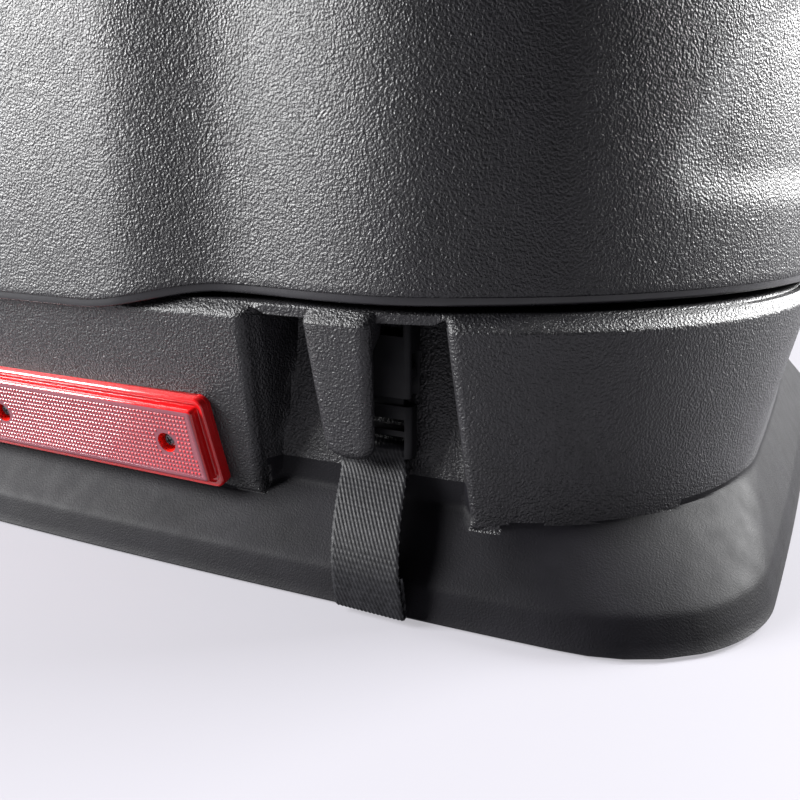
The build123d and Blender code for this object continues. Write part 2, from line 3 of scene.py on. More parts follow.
import bmesh
import bpy
import numpy as np
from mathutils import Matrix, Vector


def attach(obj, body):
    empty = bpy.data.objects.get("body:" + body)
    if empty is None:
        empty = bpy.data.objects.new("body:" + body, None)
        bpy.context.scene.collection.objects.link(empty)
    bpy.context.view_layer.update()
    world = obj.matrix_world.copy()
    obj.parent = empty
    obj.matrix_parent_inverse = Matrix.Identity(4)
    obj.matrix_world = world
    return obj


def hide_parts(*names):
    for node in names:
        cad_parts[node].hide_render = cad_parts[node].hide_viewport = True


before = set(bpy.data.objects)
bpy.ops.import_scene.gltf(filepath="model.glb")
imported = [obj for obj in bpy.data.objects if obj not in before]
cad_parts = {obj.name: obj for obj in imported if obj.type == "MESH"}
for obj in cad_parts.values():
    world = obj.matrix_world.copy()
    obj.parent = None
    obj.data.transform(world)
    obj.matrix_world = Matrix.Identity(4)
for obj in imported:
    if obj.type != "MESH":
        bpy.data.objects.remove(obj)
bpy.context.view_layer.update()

MM = 0.001

# ---- sizes shared with the CAD, in millimetres
WIDTH, DEPTH = 588.0, 430.0
BOW = 3400.0
WALL = 4.0
REAR_STEP = 9.5

# Tub lines as (height, inset, corner radius, rear step)
CORE_LINES = (
    (0, 0, 60, 0),
    (11.5, 4, 67, 0),
    (31.5, 16, 97, REAR_STEP),
    (98, 21.5, 135, REAR_STEP),
)
PAD_LINES = (
    (21.5, 43, 97, 0),
    (26.5, 19, 97, 0),
    (94.5, 4.5, 137, 0),
    (98, 8, 137, 0),
)
BELT_TOP_Z = 31.5
PAD_BOTTOM_Z = 26.5
BUCKLE_X = 161
SLOT_HALF_LONG, SLOT_HALF_WIDE = 17.5, 5.8
HINGE_X, HINGE_SEAT_HALF = 85, 34
DRAIN_X, DRAIN_RADIUS = 220, 4
BOLT_X, BOLT_Y, BOLT_RADIUS = 150, 90, 4.25
FLANGE_INSET = 9
FLANGE_CORNER = 137
FLANGE_Z = 95
FLANGE_TOP = 99
NECK_INSET = 21.5
NECK_CORNER = 135
RIM_TOP = 114

CHANNEL_IN, CHANNEL_OUT = 124, 191
CHANNEL_SPREAD = 6
CHANNEL_DRAFT = 10 / 51
CHANNEL_X = 157.5
LUG_X = 156.2
LUG_ROOT_Z, LUG_TIP_Z = 98, 47
LUG_HALF_ROOT, LUG_HALF_TIP = 12.5, 9.0
LUG_TIP_ROUND = 6.0
PAD_EDGE_RADIUS = 4.5

# Lid lines as (height, inset, corner radius)
LID_LINES = (
    (101, 0, 174),
    (160, 2.2, 171),
    (215, 5, 167),
    (262, 13, 160),
    (290, 28, 142),
    (308, 56, 112),
    (317, 95, 78),
    (319, 130, 50),
)
LIP_Z = 101
LIP_BAND = 3.0
LIP_DIP = 7.5
LIP_CORNER = 174
DIP_HALF, DIP_RUN = 63, 43
RIB_Z, RIB_THICKNESS = 120, 3
RIB_INSET = 22.5


# ---- small helpers
def link(obj):
    bpy.context.scene.collection.objects.link(obj)
    return obj


def smoothstep(value, low, high):
    t = np.clip((np.asarray(value, float) - low) / (high - low), 0, 1)
    return t * t * (3 - 2 * t)


def finish_mesh(obj, sharp_degrees=35):
    """Clean normals, smooth faces and sharp edges where two faces meet at a real corner."""
    bm = bmesh.new()
    bm.from_mesh(obj.data)
    bmesh.ops.remove_doubles(bm, verts=bm.verts, dist=1e-6)
    bmesh.ops.dissolve_degenerate(bm, dist=1e-7, edges=bm.edges)
    bmesh.ops.recalc_face_normals(bm, faces=bm.faces)
    limit = math.radians(sharp_degrees)
    for face in bm.faces:
        face.smooth = True
    for edge in bm.edges:
        edge.smooth = len(edge.link_faces) == 2 and edge.calc_face_angle(0) < limit
    bm.to_mesh(obj.data)
    bm.free()
    return obj


def mesh_object(name, verts, faces, materials=()):
    """Mesh in metres from vertices in millimetres."""
    mesh = bpy.data.meshes.new(name)
    mesh.from_pydata([tuple(float(c) * MM for c in v) for v in verts], [], faces)
    for item in materials:
        mesh.materials.append(item)
    return link(bpy.data.objects.new(name, mesh))


def with_modifier(obj, kind, **settings):
    """Object whose mesh has one modifier applied."""
    modifier = obj.modifiers.new(kind, kind)
    for key, value in settings.items():
        setattr(modifier, key, value)
    graph = bpy.context.evaluated_depsgraph_get()
    applied = bpy.data.meshes.new_from_object(obj.evaluated_get(graph))
    obj.modifiers.clear()
    obj.data = applied
    return obj


def boolean(obj, cutters, operation):
    """Cuts several solids away from one object, or joins them to it."""
    for cutter in cutters:
        with_modifier(obj, "BOOLEAN", object=cutter, operation=operation, solver="EXACT")
        bpy.data.objects.remove(cutter)
    return obj


def box_solid(name, low, high):
    """Upright box between two corners."""
    verts = [(x, y, z) for z in (low[2], high[2]) for y in (low[1], high[1]) for x in (low[0], high[0])]
    faces = [(0, 2, 3, 1), (4, 5, 7, 6), (0, 1, 5, 4), (2, 6, 7, 3), (0, 4, 6, 2), (1, 3, 7, 5)]
    return mesh_object(name, verts, faces)


def disc_solid(name, centre, radius, low, high, steps=32):
    """Upright cylinder."""
    ring = [
        (centre[0] + radius * math.cos(a), centre[1] + radius * math.sin(a))
        for a in (2 * math.pi * k / steps for k in range(steps))
    ]
    verts = [(x, y, low) for x, y in ring] + [(x, y, high) for x, y in ring]
    sides = [(k, (k + 1) % steps, (k + 1) % steps + steps, k + steps) for k in range(steps)]
    caps = [tuple(reversed(range(steps))), tuple(range(steps, 2 * steps))]
    return mesh_object(name, verts, sides + caps)


def tidy_solid(obj):
    """Turns every face of a closed mesh outward."""
    bm = bmesh.new()
    bm.from_mesh(obj.data)
    bmesh.ops.recalc_face_normals(bm, faces=bm.faces)
    bm.to_mesh(obj.data)
    bm.free()
    return obj


# ---- bowed plan outline: one closed ring of points at one height
def rear_y(inset, x=0.0):
    """Depth position of the bowed rear face, drawn in by inset, at one distance from the middle."""
    return -(DEPTH / 2 - inset) + x * x / (2 * BOW)


def corner_centre(half_width, rear, middle, corner):
    """Centre of the arc that rounds the corner between the rear arc and the side arc."""
    reach = BOW - corner
    a = np.array([0.0, rear + BOW])
    b = np.array([half_width - BOW, middle])
    span = b - a
    length = np.hypot(*span)
    rise = math.sqrt(reach * reach - length * length / 4)
    across = np.array([span[1], -span[0]]) / length
    options = (a + span / 2 + across * rise, a + span / 2 - across * rise)
    return a, b, max(options, key=lambda p: p[0] - p[1])


def quarter(half_width, rear, middle, corner, marks, corner_steps, side_steps, absolute):
    """Points from the middle of the rear face round one corner to the middle of the side."""
    a, b, p = corner_centre(half_width, rear, middle, corner)
    diagonal = p[0] + corner * math.sin(math.radians(45))
    if absolute:
        x = np.where(marks <= 200, marks, 200 + (marks - 200) / (marks[-1] - 200) * (diagonal - 200))
    else:
        x = marks / marks[-1] * diagonal
    touch = (a + (p - a) / np.hypot(*(p - a)) * BOW)[0]
    on_arc = a[1] - np.sqrt(BOW**2 - x**2)
    on_corner = p[1] - np.sqrt(np.maximum(corner**2 - (x - p[0]) ** 2, 0))
    rear_part = np.stack([x, np.where(x < touch, on_arc, on_corner)], 1)
    side_touch = b + (p - b) / np.hypot(*(p - b)) * BOW
    end = math.atan2(side_touch[1] - p[1], side_touch[0] - p[0])
    angles = np.linspace(math.radians(-45), end, corner_steps + 1)[1:]
    corner_part = p + corner * np.stack([np.cos(angles), np.sin(angles)], 1)
    ys = np.linspace(side_touch[1], middle, side_steps + 1)[1:]
    side_part = np.stack([b[0] + np.sqrt(BOW**2 - (ys - middle) ** 2), ys], 1)
    return np.concatenate([rear_part, corner_part, side_part])


class Columns:
    """Where the upright grid lines of a shell run, the same at every height."""

    def __init__(self, marks, corner_steps, side_steps, absolute):
        self.marks = np.asarray(marks, float)
        self.settings = (corner_steps, side_steps, absolute)

    def ring(self, z, inset, corner, step=0.0):
        half_width = WIDTH / 2 - inset
        front = DEPTH / 2 - inset
        rear = -front + step
        middle = (front + rear) / 2
        back = quarter(half_width, rear, middle, corner, self.marks, *self.settings)
        fore = quarter(half_width, -front, -middle, corner, self.marks, *self.settings) * (1, -1)
        right = np.concatenate([back, fore[::-1][1:]])
        left = right[1:-1][::-1] * (-1, 1)
        plan = np.concatenate([right, left])
        return np.column_stack([plan, np.full(len(plan), float(z))])


def outward(ring):
    """Level unit normals of a ring."""
    tangent = np.roll(ring, -1, 0) - np.roll(ring, 1, 0)
    normal = np.column_stack([tangent[:, 1], -tangent[:, 0], np.zeros(len(ring))])
    return normal / np.linalg.norm(normal, axis=1)[:, None]


def line_at(lines, z, blur=0.0):
    """Values of a set of lines at one height, with corners rounded over blur millimetres."""
    heights = [row[0] for row in lines]
    spots = z + np.linspace(-blur, blur, 9)
    return [float(np.mean(np.interp(spots, heights, [row[k] for row in lines]))) for k in (1, 2, 3)]


def shell_object(name, rings, materials, pick):
    """Closed shell from a stack of rings with a pole at each end; pick gives each face its material."""
    count = len(rings[0])
    verts = list(np.concatenate(rings))
    bottom, top = len(verts), len(verts) + 1
    verts.append(rings[0].mean(0))
    verts.append(rings[-1].mean(0))
    faces = []
    kinds = []
    for row in range(len(rings) - 1):
        for col in range(count):
            after = (col + 1) % count
            below, above = row * count, (row + 1) * count
            faces.append((below + col, below + after, above + after, above + col))
            kinds.append(pick(row, col))
    last = (len(rings) - 1) * count
    for col in range(count):
        after = (col + 1) % count
        faces.append((bottom, after, col))
        faces.append((top, last + col, last + after))
        kinds += [pick(0, col), pick(len(rings) - 2, col)]
    shell = mesh_object(name, verts, faces, materials)
    shell.data.polygons.foreach_set("material_index", kinds)
    return shell


# ---- materials
def noise(nodes, links, coords, scale, detail, roughness=0.55):
    node = nodes.new("ShaderNodeTexNoise")
    node.inputs["Scale"].default_value = scale
    node.inputs["Detail"].default_value = detail
    node.inputs["Roughness"].default_value = roughness
    links.new(coords, node.inputs["Vector"])
    return node.outputs["Fac"]


def spread(nodes, links, value, low, high):
    """Maps a 0 to 1 texture onto a range."""
    node = nodes.new("ShaderNodeMapRange")
    node.inputs["From Min"].default_value = 0.3
    node.inputs["From Max"].default_value = 0.7
    node.inputs["To Min"].default_value = low
    node.inputs["To Max"].default_value = high
    links.new(value, node.inputs["Value"])
    return node.outputs["Result"]


def make_material(name, dark, light, rough, tone_scale, bumps, **sockets):
    """Principled finish: two close tones, a roughness that wanders, and layers of bump."""
    item = bpy.data.materials.new(name)
    item.use_nodes = True
    nodes, links = item.node_tree.nodes, item.node_tree.links
    shader = nodes["Principled BSDF"]
    coords = nodes.new("ShaderNodeTexCoord").outputs["Object"]
    tone = noise(nodes, links, coords, tone_scale, 3)
    mix = nodes.new("ShaderNodeMix")
    mix.data_type = "RGBA"
    mix.inputs["A"].default_value = (*dark, 1)
    mix.inputs["B"].default_value = (*light, 1)
    links.new(spread(nodes, links, tone, 0, 1), mix.inputs["Factor"])
    links.new(mix.outputs["Result"], shader.inputs["Base Color"])
    wander = noise(nodes, links, coords, tone_scale * 2.3, 4)
    links.new(spread(nodes, links, wander, *rough), shader.inputs["Roughness"])
    normal = None
    for scale, detail, strength, distance in bumps:
        bump = nodes.new("ShaderNodeBump")
        bump.inputs["Strength"].default_value = strength
        bump.inputs["Distance"].default_value = distance
        links.new(noise(nodes, links, coords, scale, detail), bump.inputs["Height"])
        if normal:
            links.new(normal, bump.inputs["Normal"])
        normal = bump.outputs["Normal"]
    if normal:
        links.new(normal, shader.inputs["Normal"])
    for key, value in sockets.items():
        shader.inputs[key.replace("_", " ")].default_value = value
    return item


BLACK = (0.0040, 0.0038, 0.0050)
BLACK_LIGHT = (0.0072, 0.0068, 0.0088)
grained = make_material(
    "pebble_grain", BLACK, BLACK_LIGHT, (0.42, 0.52), 60,
    ((1180, 1, 1.0, 0.00055), (2600, 1, 0.4, 0.00012)),
)
fine_grain = make_material(
    "fine_grain", BLACK, BLACK_LIGHT, (0.54, 0.62), 50, ((1500, 1, 0.6, 0.00018),), Specular_IOR_Level=0.1,
)
smooth_lip = make_material(
    "smooth_lip", BLACK, BLACK_LIGHT, (0.26, 0.36), 90, ((1100, 1, 0.08, 0.0001), (150, 1, 0.05, 0.0004)),
)
inner_black = make_material(
    "inner_black", (0.007, 0.007, 0.008), (0.012, 0.012, 0.013), (0.5, 0.62), 40, ((900, 2, 0.3, 0.0002),),
)
buckle_black = make_material(
    "satin_acetal", (0.004, 0.004, 0.005), (0.008, 0.008, 0.009), (0.44, 0.52), 120,
    ((1600, 1, 0.12, 0.0001),), Specular_IOR_Level=0.15,
)
webbing_black = make_material(
    "webbing_yarn", (0.004, 0.004, 0.005), (0.012, 0.012, 0.014), (0.42, 0.6), 500,
    ((4200, 2, 0.4, 0.00008),), Specular_IOR_Level=0.15,
)
seal_black = make_material(
    "seal_rubber_skin", (0.010, 0.010, 0.011), (0.018, 0.018, 0.019), (0.6, 0.78), 70,
    ((500, 2, 0.2, 0.0002),),
)
mat_black = make_material(
    "mat_rubber_skin", (0.017, 0.017, 0.018), (0.030, 0.030, 0.031), (0.65, 0.85), 45,
    ((700, 3, 0.6, 0.0004),),
)
powder_black = make_material(
    "powder_coat", (0.014, 0.014, 0.015), (0.024, 0.024, 0.026), (0.34, 0.48), 80, ((1300, 2, 0.3, 0.00015),),
    Metallic=0.1,
)
screw_grey = make_material(
    "screw_grey", (0.05, 0.05, 0.055), (0.12, 0.12, 0.13), (0.3, 0.42), 900, ((2600, 2, 0.2, 0.00008),),
    Metallic=0.9,
)
rivet_grey = make_material(
    "rivet_grey", (0.42, 0.43, 0.45), (0.6, 0.61, 0.63), (0.3, 0.45), 400, ((1800, 2, 0.15, 0.0001),),
    Metallic=0.95,
)
zinc_grey = make_material(
    "zinc_spangle", (0.42, 0.43, 0.44), (0.66, 0.67, 0.68), (0.25, 0.45), 180, ((600, 2, 0.1, 0.0002),),
    Metallic=0.95,
)
lens_rim = make_material(
    "lens_rim", (0.42, 0.004, 0.006), (0.54, 0.008, 0.010), (0.08, 0.14), 60, ((240, 1, 0.04, 0.0003),),
    Coat_Weight=0.35, Coat_Roughness=0.04, Specular_IOR_Level=0.4,
)
lens_well = make_material(
    "lens_well", (0.50, 0.004, 0.004), (0.85, 0.02, 0.012), (0.10, 0.2), 900, ((1200, 1, 0.3, 0.0003),),
    Coat_Weight=0.4,
)
lens_field = make_material(
    "lens_field", (0.15, 0.035, 0.05), (0.19, 0.05, 0.065), (0.12, 0.2), 25, ((300, 1, 0.03, 0.0003),),
    Coat_Weight=0.25, Coat_Roughness=0.06, Specular_IOR_Level=0.3,
)
prism_red = make_material(
    "prism_red", (0.42, 0.03, 0.036), (0.52, 0.045, 0.055), (0.15, 0.25), 120, ((900, 1, 0.05, 0.0001),),
    Coat_Weight=0.25, Coat_Roughness=0.06, Specular_IOR_Level=0.3,
)


# ---- tub
def tub_marks():
    """Distances from the middle, close together at the four channel edges."""
    away = np.array([9, 6, 4.5, 3.6, 2.7, 1.8, 1.0, 0.4, 0, -0.8, -1.8, -3, -4.2, -5.3, -7, -9])
    inner = CHANNEL_IN - away
    outer = CHANNEL_OUT + away[::-1]
    plain = list(np.arange(0, CHANNEL_IN - 12, 5.0)) + [138, 143, 148, 153, 158, 163, 168, 173, 177]
    return np.array(sorted(plain + list(inner) + list(outer) + [206, 212, 218, 225, 233, 241, 249, 257]))


tub_columns = Columns(tub_marks(), 16, 18, absolute=True)


def channel_lean(ring, z):
    """Widens the channels towards their foot."""
    drop = np.clip((FLANGE_TOP - z) / (FLANGE_TOP - PAD_BOTTOM_Z + 2), 0, 1) * CHANNEL_SPREAD
    x = np.abs(ring[:, 0])
    near_in = np.clip(1 - np.abs(x - CHANNEL_IN) / 22, 0, 1) ** 0.5
    near_out = np.clip(1 - np.abs(x - CHANNEL_OUT) / 16, 0, 1) ** 0.5
    shift = np.where(x < CHANNEL_X, -near_in, near_out) * drop
    return np.sign(ring[:, 0]) * (x + np.where(ring[:, 1] < -100, shift, 0))


def pad_share(reference, depth, grow):
    """How far each column stands out to the pad, from 0 in a channel to 1 on a pad."""
    x = np.abs(reference[:, 0])
    beyond = np.maximum(CHANNEL_IN - grow - x, x - CHANNEL_OUT - grow)
    rear = reference[:, 1] < -100
    deep = np.maximum(depth, 1.0)
    radius = np.minimum(PAD_EDGE_RADIUS, deep * 0.8)
    inside = np.clip(radius - beyond, 0, radius)
    rounded = 1 - (radius - np.sqrt(radius**2 - inside**2)) / deep
    edge = 1 - radius / deep
    fall = np.clip(1 + beyond / (CHANNEL_DRAFT * deep + 1.2), 0, 1)
    sloped = edge * fall * fall * (3 - 2 * fall)
    return np.where(rear, np.where(beyond >= 0, rounded, sloped), 1.0)


pad_reference = tub_columns.ring(0, 4.5, 137)


def body_ring(z, shrink=0.0, blur=1.1):
    """Outline of the tub's body at one height: the core, and the pads where they stand proud of it."""
    core_inset, core_corner, core_step = line_at(CORE_LINES, z, blur)
    pad_inset, pad_corner, _ = line_at(PAD_LINES, z, blur * 0.7)
    core = tub_columns.ring(z, core_inset + shrink, core_corner, core_step)
    pad = tub_columns.ring(z, pad_inset + shrink, pad_corner)
    across = pad - core
    across *= np.sign((across * outward(core)).sum(1))[:, None]
    gap = np.linalg.norm(across, axis=1)
    level = gap * np.sign(((pad - core) * across).sum(1))
    proud = (level + np.sqrt(level**2 + 0.6)) / 2 * smoothstep(z, 20, 25)
    share = pad_share(pad_reference, proud, shrink)
    ring = core + across / np.maximum(gap, 1e-6)[:, None] * (proud * share)[:, None]
    leaned = channel_lean(ring, z)
    ring[:, 1] += (leaned**2 - ring[:, 0] ** 2) / (2 * BOW) * (ring[:, 1] < -100)
    ring[:, 0] = leaned
    return ring


def tub_rings():
    """Rings from the middle of the underside, up the outside, over the rim and down the inside."""
    base_inset, base_corner = CORE_LINES[0][1:3]
    rings = []
    for share in (0.05, 0.35, 0.7, 0.9):
        rings.append(tub_columns.ring(0, base_inset + 2.4, base_corner) * (share, share, 1))
    for z, tuck in ((0, 2.4), (0.15, 1.4), (0.6, 0.6), (1.3, 0.15)):
        rings.append(tub_columns.ring(z, base_inset + tuck, base_corner))
    heights = [2.4, 4.5, 7, 9, 10.1, 10.9, 11.5, 12.1, 12.9, 14, 16, 18.5, 21, 22.5, 23.4, 24.2, 24.9, 25.6]
    heights += [26.1, 26.6, 27.2, 28, 29, 30, 30.8, 31.5, 32.2, 33.2, 35, 37, 40, 44, 49, 55, 62, 69]
    heights += [76, 82, 87, 90, 91.8, 92.9, 93.6, 94.1, 94.5, 94.9]
    for z in heights:
        rings.append(body_ring(z))
    body = rings[-1]
    lean_x = body[:, 0]
    share = pad_share(pad_reference, np.full(len(body), 22.0), 0)[:, None]
    edge_low = tub_columns.ring(FLANGE_Z, FLANGE_INSET + 0.5, FLANGE_CORNER)
    edge_pad = tub_columns.ring(97.9, 8.3, 137)
    edge = edge_low * (1 - share) + edge_pad * share
    edge[:, 0] = lean_x * 0.5 + edge[:, 0] * 0.5
    rings.append(body * 0.5 + edge * 0.5)
    rings.append(edge)
    for z, inset in ((98.1, 8.9), (98.5, 9.2), (98.8, 9.6), (99, 10.4)):
        rings.append(tub_columns.ring(z, inset, FLANGE_CORNER))
    neck = ((99, NECK_INSET - 0.8), (99.3, NECK_INSET - 0.2), (100, NECK_INSET), (107, NECK_INSET))
    rim = (
        (112.9, 0.0), (113.6, 0.4), (RIM_TOP, 1.4), (RIM_TOP, 2.6),
        (113.6, 3.6), (112.9, WALL), (105, WALL), (94, WALL),
    )
    for z, inset in neck:
        rings.append(tub_columns.ring(z, inset, NECK_CORNER, REAR_STEP))
    for z, inward in rim:
        rings.append(tub_columns.ring(z, NECK_INSET + inward, NECK_CORNER, REAR_STEP))
    outer_count = len(rings)
    for z in (90.5, 89.8, 88.5, 82, 76, 69, 62, 55, 49, 44, 40, 37, 35, 33.4, 32.2, 31, 29.6, 28, 26, 24):
        rings.append(body_ring(z, WALL))
    for z in (20, 16, 13.5, 12.3, 11.5, 10.5, 8, 6):
        inset, corner, step = line_at(CORE_LINES, z, 1.1)
        rings.append(tub_columns.ring(z, inset + WALL, corner, step))
    for z, tuck in ((5, 0.4), (4.3, 1.2), (WALL, 2.6)):
        rings.append(tub_columns.ring(z, base_inset + WALL + tuck, base_corner))
    for share in (0.8, 0.5, 0.2, 0.05):
        rings.append(tub_columns.ring(WALL, base_inset + WALL + 2.6, base_corner) * (share, share, 1))
    return rings, outer_count


tub_grid, tub_outer = tub_rings()
GRAIN, FINE, LIP, INNER = 0, 1, 2, 3


def tub_finish(row, col):
    """Pads, channels and flange carry the coarse grain; belt and plinth are smoother."""
    if row >= tub_outer - 2:
        return INNER
    corner = tub_grid[row][col]
    z = corner[2]
    in_channel = corner[1] < -150 and CHANNEL_IN - 5 < abs(corner[0]) < CHANNEL_OUT + 5
    if z > BELT_TOP_Z + (6 if in_channel else 1.6):
        return GRAIN
    if PAD_BOTTOM_Z - 0.6 < z and corner[1] < -150 and not in_channel:
        plain = core_lines_at[row][col] if row in core_lines_at else corner
        if np.hypot(*(corner - plain)[:2]) > 3.0:
            return GRAIN
    return FINE


core_lines_at = {}
for row, ring in enumerate(tub_grid[:tub_outer]):
    z = ring[0][2]
    if PAD_BOTTOM_Z - 1 < z < BELT_TOP_Z + 1:
        inset, corner, step = line_at(CORE_LINES, z, 1.1)
        core_lines_at[row] = tub_columns.ring(z, inset, corner, step)

tub_skin = shell_object("tub_moulding", tub_grid, (grained, fine_grain, smooth_lip, inner_black), tub_finish)


def lug_solid(side):
    """Leaning tongue with rounded edges and tip, hanging from the flange."""
    rows = []
    heights = [98.4, 98, 97.2, 96.2, 95.2, 94.3, 93.2, 91, 86, 80, 72]
    heights += [64, 58, 54, 52, 50.4, 49.2, 48.3, 47.6, 47.15, LUG_TIP_Z]
    for z in heights:
        t = (LUG_ROOT_Z - z) / (LUG_ROOT_Z - LUG_TIP_Z)
        half = LUG_HALF_ROOT - (LUG_HALF_ROOT - LUG_HALF_TIP) * t
        if z < LUG_TIP_Z + LUG_TIP_ROUND:
            down = LUG_TIP_Z + LUG_TIP_ROUND - z
            half -= LUG_TIP_ROUND - math.sqrt(max(LUG_TIP_ROUND**2 - down**2, 0))
        lean = np.interp(z, (LUG_TIP_Z, 94.5, LUG_ROOT_Z, 99), (13.5, 4.5, 8.0, 9.0))
        back = np.interp(z, (LUG_TIP_Z, 86, 90, LUG_ROOT_Z), (18.2, 12.6, 17.5, 17.5))
        inset_tip = max(0.0, 1.6 - (z - LUG_TIP_Z)) * 0.7
        rows.append((z, half, lean + inset_tip, back - inset_tip))
    verts = []
    steps = 6
    for z, half, fore, rear in rows:
        wide = min(4.6, half * 0.9)
        radius = min(3.6, (rear - fore) * 0.48)
        ring = []
        for cx, cy, start in (
            (half - wide, fore + radius, 270),
            (half - wide, rear - radius, 0),
            (wide - half, rear - radius, 90),
            (wide - half, fore + radius, 180),
        ):
            for k in range(steps + 1):
                a = math.radians(start + 90 * k / steps)
                ring.append((side * LUG_X + cx + wide * math.cos(a), cy + radius * math.sin(a)))
        verts += [(x, rear_y(y, CHANNEL_X), z) for x, y in ring]
    count = 4 * (steps + 1)
    faces = [
        (r * count + k, r * count + (k + 1) % count, (r + 1) * count + (k + 1) % count, (r + 1) * count + k)
        for r in range(len(rows) - 1)
        for k in range(count)
    ]
    faces += [tuple(range(count)), tuple(reversed(range((len(rows) - 1) * count, len(rows) * count)))]
    return mesh_object("lug", verts, faces)


tidy_solid(tub_skin)
additions = []
cuts = []
for side in (-1, 1):
    additions.append(tidy_solid(lug_solid(side)))
    seat_low, seat_high = side * HINGE_X - HINGE_SEAT_HALF, side * HINGE_X + HINGE_SEAT_HALF
    additions.append(box_solid("seat", (seat_low, 200.2, 59), (seat_high, 215.2, FLANGE_Z)))
    slot_x, slot_y = side * BUCKLE_X, rear_y(23.8, CHANNEL_X)
    slot_from = (slot_x - SLOT_HALF_LONG, slot_y - SLOT_HALF_WIDE, 93.5)
    slot_to = (slot_x + SLOT_HALF_LONG, slot_y + SLOT_HALF_WIDE, 101)
    cuts.append(box_solid("slot", slot_from, slot_to))
    cuts.append(disc_solid("drain", (side * DRAIN_X, 0), DRAIN_RADIUS, -1, 6))
    for end in (-1, 1):
        cuts.append(disc_solid("bolt_hole", (side * BOLT_X, end * BOLT_Y), BOLT_RADIUS, -1, 6))
boolean(tub_skin, additions, "UNION")
boolean(tub_skin, cuts, "DIFFERENCE")
finish_mesh(tub_skin, 40)
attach(tub_skin, "tub")
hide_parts("tub_shell")


# ---- lid
lid_columns = Columns(np.linspace(0, 243.0, 84), 22, 44, absolute=False)
lid_reference = lid_columns.ring(0, 0, LIP_CORNER)


def lid_travel():
    """Distance down the lid's outside at each of its lines."""
    rise = np.diff([row[0] for row in LID_LINES])
    tuck = np.diff([row[1] for row in LID_LINES])
    return np.concatenate([[0], np.cumsum(np.hypot(rise, tuck))])


def smooth_path(values, stations, at):
    """Cubic through the values at uneven stations, with slopes taken from the neighbours."""
    values, stations = np.asarray(values, float), np.asarray(stations, float)
    slope = np.gradient(values, stations)
    index = np.clip(np.searchsorted(stations, at) - 1, 0, len(values) - 2)
    gap = stations[index + 1] - stations[index]
    t = (at - stations[index]) / gap
    return (
        (2 * t**3 - 3 * t**2 + 1) * values[index]
        + (t**3 - 2 * t**2 + t) * gap * slope[index]
        + (3 * t**2 - 2 * t**3) * values[index + 1]
        + (t**3 - t**2) * gap * slope[index + 1]
    )


def lid_profile(steps):
    """Height, inset and corner radius down the outside of the lid."""
    travel = lid_travel()
    at = np.linspace(0, travel[-1], steps)
    return [smooth_path([row[k] for row in LID_LINES], travel, at) for k in range(3)]


def dip_at(x):
    """How far the lip hangs below its level line."""
    return LIP_DIP * (1 - smoothstep(np.abs(x), DIP_HALF - 6, DIP_HALF + DIP_RUN + 6))


def flute_at(x, z):
    """Depth of the two upright hollows in the rear face: a steep flank inside, a slow rise outside."""
    x = np.abs(x) * np.ones_like(z)
    inner = smoothstep(x, 72, 118)
    outer = 1 - smoothstep(x, 119, 184)
    return 10 * inner * outer * (1 - smoothstep(z, 215, 272))


def scallop_at(points):
    """Depth of the shallow panel sunk into each side and round into the corners."""
    y, z = points[:, 1], points[:, 2]
    t = np.clip((z - 130) / 75, 0, 1)
    half = 168 - 48 * t
    across = np.minimum(half - np.abs(y), 40)
    up = np.minimum(z - 130, 205 - z)
    a, b = np.clip(across, -20, 24), np.clip(up, -20, 24)
    inside = np.where((a < 24) & (b < 24), 24 - np.hypot(24 - a, 24 - b), np.minimum(a, b))
    return 2.4 * smoothstep(inside, -2, 12) * (np.abs(points[:, 0]) > 150)


def lid_point_ring(z, inset, corner, inward=0.0, shaped=1.0, dipped=1.0):
    """One ring of the lid with its hollows and its dipped lip."""
    ring = lid_columns.ring(z, inset + inward, corner)
    normal = outward(ring)
    rear = lid_reference[:, 1] < -100
    depth = flute_at(lid_reference[:, 0], np.full(len(ring), float(z))) * rear
    panel = scallop_at(np.column_stack([lid_reference[:, :2], ring[:, 2]]))
    depth = depth + panel * (1 if inward == 0 else 0.4)
    ring = ring - normal * (depth * shaped)[:, None]
    ring[:, 2] -= dip_at(lid_reference[:, 0]) * rear * dipped
    return ring


